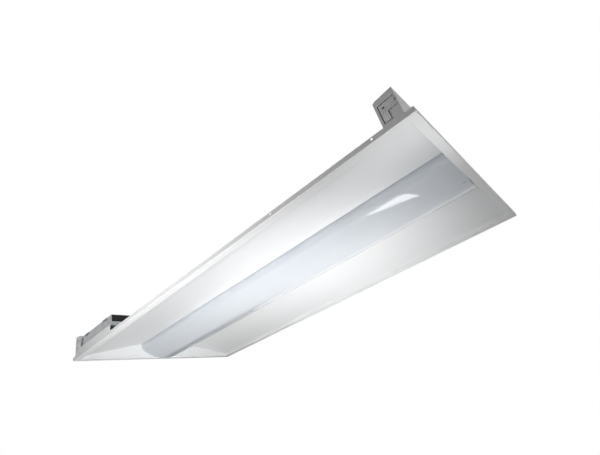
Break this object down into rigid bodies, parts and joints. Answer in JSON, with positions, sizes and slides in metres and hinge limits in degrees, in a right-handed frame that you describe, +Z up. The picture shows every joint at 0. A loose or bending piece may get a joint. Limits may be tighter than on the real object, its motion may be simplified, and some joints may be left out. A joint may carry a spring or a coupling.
{
  "type": "recessed troffer light",
  "caption": "Recessed ceiling troffer for a lay-in grid, with a bowed lens along the middle, curved white reflector wings, end plates with swing-out clips and a driver box on its back.",
  "frame": {"origin": "centre of the light's opening, in the plane of the visible ledge that lies on the ceiling tees", "axes": "+X along the light towards the end that is near in the picture, +Y across it towards the side without the driver box, +Z up into the ceiling"},
  "size_m": [1.2128, 0.6032, 0.0792],
  "materials": {
    "white_paint": "baked white satin paint on steel sheet",
    "galvanised": "bare galvanised steel sheet",
    "frosted_acrylic": "translucent white acrylic, glossy outside",
    "clear_plug": "clear moulded plastic",
    "circuit_board": "white solder mask",
    "led_phosphor": "yellow phosphor in white packages",
    "white_plastic": "moulded white plastic",
    "black_plastic": "moulded black plastic",
    "grey_plastic": "moulded grey plastic",
    "amber_plastic": "tinted plastic of the push-in connectors",
    "zinc_screw": "zinc plated steel",
    "green_screw": "green bonding screw",
    "aluminium_rivet": "mill finish",
    "spring_steel": "bright spring steel",
    "driver_can": "white enamelled can",
    "black_wire": "wire insulation",
    "white_wire": "wire insulation",
    "green_wire": "wire insulation",
    "grey_lead": "lead jacket",
    "red_wire": "wire insulation"
  },
  "bodies": {
    "housing": {"side_panel_left": "white_paint", "side_panel_right": "white_paint", "end_plate_near": "white_paint", "end_plate_far": "white_paint", "end_plate_rivets_near": "aluminium_rivet", "end_plate_rivets_far": "aluminium_rivet", "back_pan": "galvanised", "back_pan_screws": "zinc_screw", "led_board_near_left": "circuit_board", "led_board_near_right": "circuit_board", "led_board_far_left": "circuit_board", "led_board_far_right": "circuit_board", "led_packages": "led_phosphor", "board_connectors": "white_plastic", "board_screws": "zinc_screw", "board_jumper_wires": "red_wire", "lens_clips": "spring_steel", "driver_box_base": "galvanised", "driver_box_end_cap": "black_plastic", "lid_hinge_pins": "zinc_screw", "driver": "driver_can", "driver_screws": "zinc_screw", "supply_bushing": "grey_plastic", "wire_connectors": "amber_plastic", "black_lead": "black_wire", "white_lead": "white_wire", "ground_lead": "green_wire", "ground_screw": "green_screw", "led_lead": "grey_lead", "lead_bushings": "black_plastic"},
    "lens": {"lens": "frosted_acrylic", "lens_plug": "clear_plug"},
    "box_lid": {"driver_box_lid": "galvanised", "knockout_slug": "galvanised"},
    "clip_near_left": {"tbar_clip_near_left": "white_paint"},
    "clip_near_right": {"tbar_clip_near_right": "white_paint"},
    "clip_far_left": {"tbar_clip_far_left": "white_paint"},
    "clip_far_right": {"tbar_clip_far_right": "white_paint"}
  },
  "joints": [
    {"name": "lens_drop", "type": "slide", "parent": "housing", "child": "lens", "axis": [0, 0, -1], "range_m": [0, 0.07]},
    {"name": "lid_hinge", "type": "hinge", "parent": "housing", "child": "box_lid", "pos_m": [-0.4565, -0.29812, 0.0566], "axis": [1, 0, 0], "range_deg": [0, 90]},
    {"name": "clip_swing_near_left", "type": "hinge", "parent": "housing", "child": "clip_near_left", "pos_m": [0.58813, -0.3006, 0.035], "axis": [0, 0, 1], "range_deg": [0, 90]},
    {"name": "clip_swing_near_right", "type": "hinge", "parent": "housing", "child": "clip_near_right", "pos_m": [0.58813, 0.3006, 0.035], "axis": [0, 0, -1], "range_deg": [0, 90]},
    {"name": "clip_swing_far_left", "type": "hinge", "parent": "housing", "child": "clip_far_left", "pos_m": [-0.58813, -0.3006, 0.035], "axis": [0, 0, -1], "range_deg": [0, 90]},
    {"name": "clip_swing_far_right", "type": "hinge", "parent": "housing", "child": "clip_far_right", "pos_m": [-0.58813, 0.3006, 0.035], "axis": [0, 0, 1], "range_deg": [0, 90]}
  ]
}
